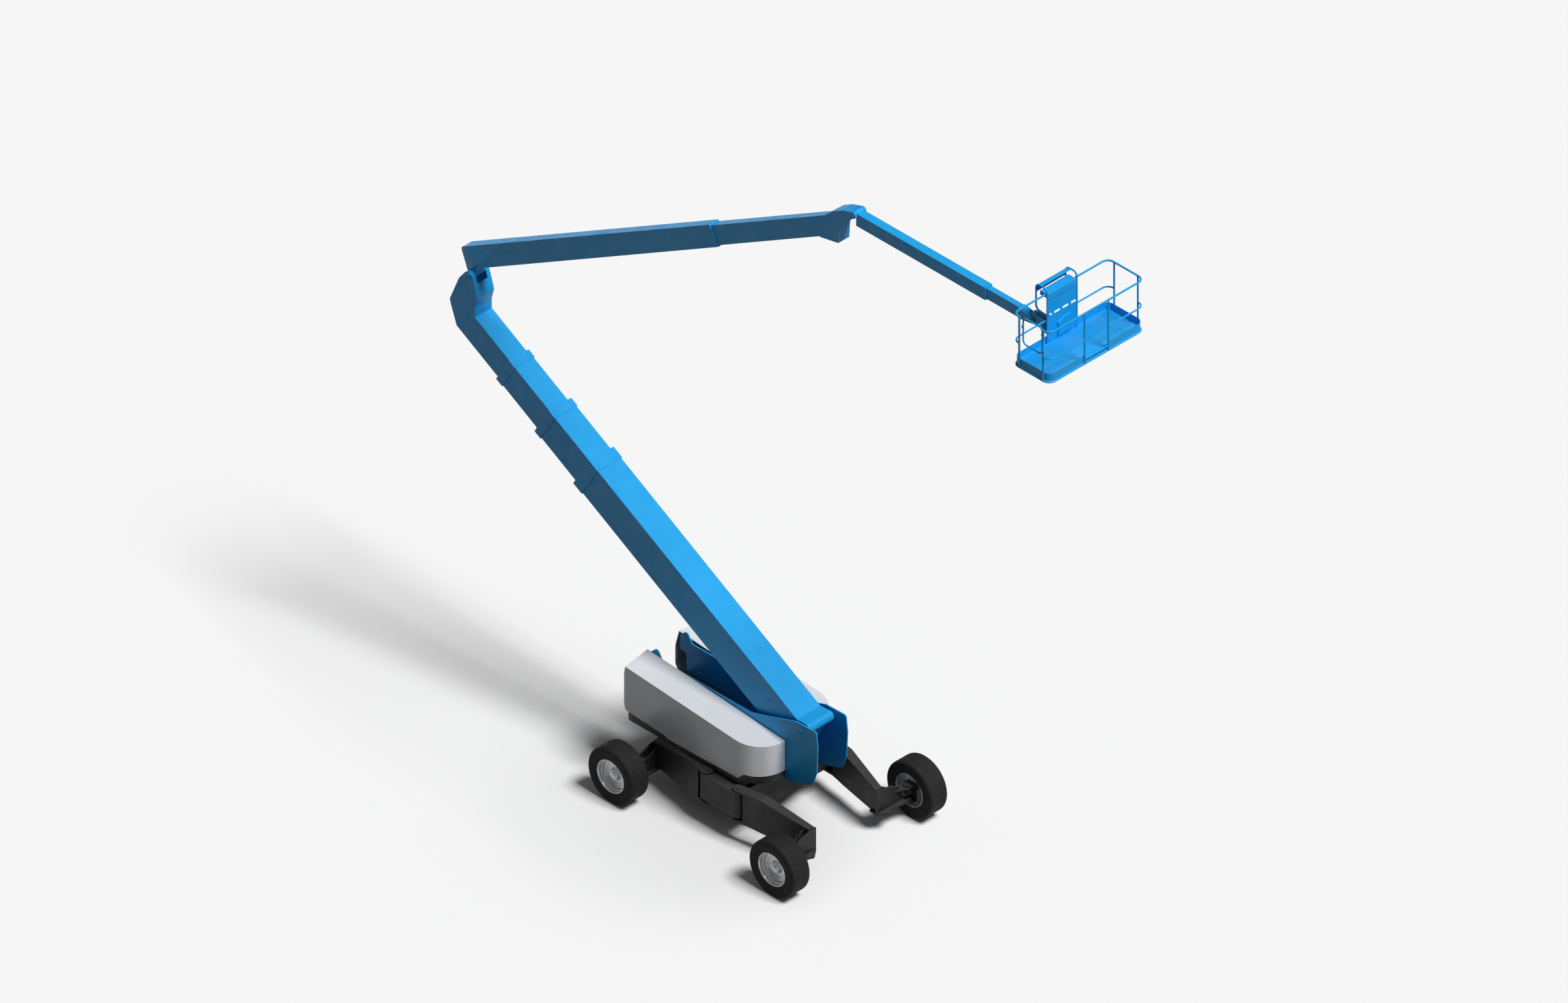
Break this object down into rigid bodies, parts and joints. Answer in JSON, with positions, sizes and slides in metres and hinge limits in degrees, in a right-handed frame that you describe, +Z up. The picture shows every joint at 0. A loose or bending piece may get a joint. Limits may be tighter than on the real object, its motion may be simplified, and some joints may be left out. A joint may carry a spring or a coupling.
{
  "type": "articulated boom lift",
  "caption": "Self-propelled articulated boom lift: swing-out axles, turret, telescoping lower and upper booms, telescoping jib and a railed work platform.",
  "frame": {"origin": "on the ground under the middle of the machine's bounding box", "axes": "+X along the chassis towards the platform, +Y across it to the machine's left, +Z up"},
  "size_m": [16.2072, 3.92, 15.2616],
  "materials": {
    "boom_blue": "satin enamel",
    "chassis_black": "satin enamel",
    "cover_white": "smooth moulded shell",
    "tyre": "matte tread rubber",
    "rim_silver": "silver paint",
    "pin_steel": "plated",
    "counterweight_black": "painted casting",
    "engine_grey": "painted castings",
    "tank_black": "moulded"
  },
  "bodies": {
    "chassis": {"chassis_frame": "chassis_black", "slew_ring": "chassis_black"},
    "leg_fl": {"axle_leg_fl": "chassis_black"},
    "knuckle_fl": {"steering_knuckle_fl": "chassis_black"},
    "wheel_fl": {"tyre_fl": "tyre", "rim_fl": "rim_silver"},
    "leg_fr": {"axle_leg_fr": "chassis_black"},
    "knuckle_fr": {"steering_knuckle_fr": "chassis_black"},
    "wheel_fr": {"tyre_fr": "tyre", "rim_fr": "rim_silver"},
    "leg_rl": {"axle_leg_rl": "chassis_black"},
    "knuckle_rl": {"steering_knuckle_rl": "chassis_black"},
    "wheel_rl": {"tyre_rl": "tyre", "rim_rl": "rim_silver"},
    "leg_rr": {"axle_leg_rr": "chassis_black"},
    "knuckle_rr": {"steering_knuckle_rr": "chassis_black"},
    "wheel_rr": {"tyre_rr": "tyre", "rim_rr": "rim_silver"},
    "turret": {"turret_base": "chassis_black", "turret_plate_left": "boom_blue", "turret_plate_right": "boom_blue", "boom_foot_pin": "pin_steel", "counterweight": "counterweight_black", "deck_left": "chassis_black", "deck_right": "chassis_black", "engine_block": "engine_grey", "fuel_tank": "tank_black"},
    "hood_left": {"cover_left": "cover_white"},
    "hood_right": {"cover_right": "cover_white"},
    "lower_section_1": {"lower_boom_1": "boom_blue"},
    "lower_section_2": {"lower_boom_2": "boom_blue"},
    "lower_section_3": {"lower_boom_3": "boom_blue"},
    "lower_section_4": {"lower_boom_4": "boom_blue", "knuckle_head": "boom_blue", "knuckle_pin": "pin_steel"},
    "upper_section_1": {"upper_boom_1": "boom_blue"},
    "upper_section_2": {"upper_boom_2": "boom_blue", "upper_boom_head": "boom_blue", "jib_pin": "pin_steel"},
    "jib_section_1": {"jib_1": "boom_blue"},
    "jib_section_2": {"jib_2": "boom_blue", "jib_head": "boom_blue", "level_pin": "pin_steel"},
    "level_link": {"platform_link": "boom_blue"},
    "platform": {"platform_support": "boom_blue", "platform_floor": "boom_blue", "platform_base_rail": "boom_blue", "platform_top_rails": "boom_blue", "platform_mid_rails": "boom_blue", "platform_posts": "boom_blue", "platform_hoops": "boom_blue", "platform_console": "boom_blue"},
    "gate": {"platform_gate": "boom_blue"}
  },
  "joints": [
    {"name": "turret_swing", "type": "hinge", "parent": "chassis", "child": "turret", "pos_m": [-0.279, 0, 1.16], "axis": [0, 0, 1], "continuous": true},
    {"name": "lower_boom_lift", "type": "hinge", "parent": "turret", "child": "lower_section_1", "pos_m": [0.981, 0, 2.45], "axis": [0, 1, 0], "range_deg": [-30, 42]},
    {"name": "lower_extend_1", "type": "slide", "parent": "lower_section_1", "child": "lower_section_2", "axis": [-0.866, 0, 0.5], "range_m": [-0.99, 3.5]},
    {"name": "lower_extend_2", "type": "slide", "parent": "lower_section_2", "child": "lower_section_3", "axis": [-0.866, 0, 0.5], "range_m": [-0.99, 3.5]},
    {"name": "lower_extend_3", "type": "slide", "parent": "lower_section_3", "child": "lower_section_4", "axis": [-0.866, 0, 0.5], "range_m": [-0.99, 3.5]},
    {"name": "upper_boom_lift", "type": "hinge", "parent": "lower_section_4", "child": "upper_section_1", "pos_m": [-7.63875, 0, 8.05015], "axis": [0, -1, 0], "range_deg": [-60, 87]},
    {"name": "upper_extend", "type": "slide", "parent": "upper_section_1", "child": "upper_section_2", "axis": [0.866, 0, 0.5], "range_m": [-2.99, 2.6]},
    {"name": "jib_lift", "type": "hinge", "parent": "upper_section_2", "child": "jib_section_1", "pos_m": [2.0113, 0, 14.13777], "axis": [0, -1, 0], "range_deg": [-20, 45]},
    {"name": "jib_extend", "type": "slide", "parent": "jib_section_1", "child": "jib_section_2", "axis": [1, 0, 0], "range_m": [-0.81, 1.45]},
    {"name": "platform_level", "type": "hinge", "parent": "jib_section_2", "child": "level_link", "pos_m": [6.4713, 0, 14.03977], "axis": [0, 1, 0], "range_deg": [-50, 90]},
    {"name": "platform_rotate", "type": "hinge", "parent": "level_link", "child": "platform", "pos_m": [6.7513, 0, 14.03977], "axis": [0, 0, 1], "range_deg": [-80, 80]},
    {"name": "platform_gate_swing", "type": "hinge", "parent": "platform", "child": "gate", "pos_m": [7.9213, -1.234, 14.81977], "axis": [0, 0, -1], "range_deg": [0, 90]},
    {"name": "leg_swing_fl", "type": "hinge", "parent": "chassis", "child": "leg_fl", "pos_m": [0.121, 1.13, 0.8], "axis": [0, 0, -1], "range_deg": [0, 22]},
    {"name": "steer_fl", "type": "hinge", "parent": "leg_fl", "child": "knuckle_fl", "pos_m": [1.761, 1.5, 0.575], "axis": [0, 0, 1], "range_deg": [-30, 30]},
    {"name": "wheel_spin_fl", "type": "hinge", "parent": "knuckle_fl", "child": "wheel_fl", "pos_m": [1.761, 1.74, 0.575], "axis": [0, 1, 0], "continuous": true},
    {"name": "leg_swing_fr", "type": "hinge", "parent": "chassis", "child": "leg_fr", "pos_m": [0.121, -1.13, 0.8], "axis": [0, 0, 1], "range_deg": [0, 22]},
    {"name": "steer_fr", "type": "hinge", "parent": "leg_fr", "child": "knuckle_fr", "pos_m": [1.761, -1.5, 0.575], "axis": [0, 0, 1], "range_deg": [-30, 30]},
    {"name": "wheel_spin_fr", "type": "hinge", "parent": "knuckle_fr", "child": "wheel_fr", "pos_m": [1.761, -1.74, 0.575], "axis": [0, 1, 0], "continuous": true},
    {"name": "leg_swing_rl", "type": "hinge", "parent": "chassis", "child": "leg_rl", "pos_m": [-0.679, 1.13, 0.8], "axis": [0, 0, 1], "range_deg": [0, 22]},
    {"name": "steer_rl", "type": "hinge", "parent": "leg_rl", "child": "knuckle_rl", "pos_m": [-2.319, 1.5, 0.575], "axis": [0, 0, 1], "range_deg": [-30, 30]},
    {"name": "wheel_spin_rl", "type": "hinge", "parent": "knuckle_rl", "child": "wheel_rl", "pos_m": [-2.319, 1.74, 0.575], "axis": [0, 1, 0], "continuous": true},
    {"name": "leg_swing_rr", "type": "hinge", "parent": "chassis", "child": "leg_rr", "pos_m": [-0.679, -1.13, 0.8], "axis": [0, 0, -1], "range_deg": [0, 22]},
    {"name": "steer_rr", "type": "hinge", "parent": "leg_rr", "child": "knuckle_rr", "pos_m": [-2.319, -1.5, 0.575], "axis": [0, 0, 1], "range_deg": [-30, 30]},
    {"name": "wheel_spin_rr", "type": "hinge", "parent": "knuckle_rr", "child": "wheel_rr", "pos_m": [-2.319, -1.74, 0.575], "axis": [0, 1, 0], "continuous": true},
    {"name": "hood_left_open", "type": "hinge", "parent": "turret", "child": "hood_left", "pos_m": [-0.279, 0.4, 2.09512], "axis": [0.997, 0, -0.0773], "range_deg": [0, 50]},
    {"name": "hood_right_open", "type": "hinge", "parent": "turret", "child": "hood_right", "pos_m": [-0.279, -0.4, 2.09512], "axis": [-0.997, 0, 0.0773], "range_deg": [0, 50]}
  ],
  "couplings": [
    {"joint": "lower_extend_2", "follows": "lower_extend_1", "ratio": 1},
    {"joint": "lower_extend_3", "follows": "lower_extend_1", "ratio": 1}
  ]
}
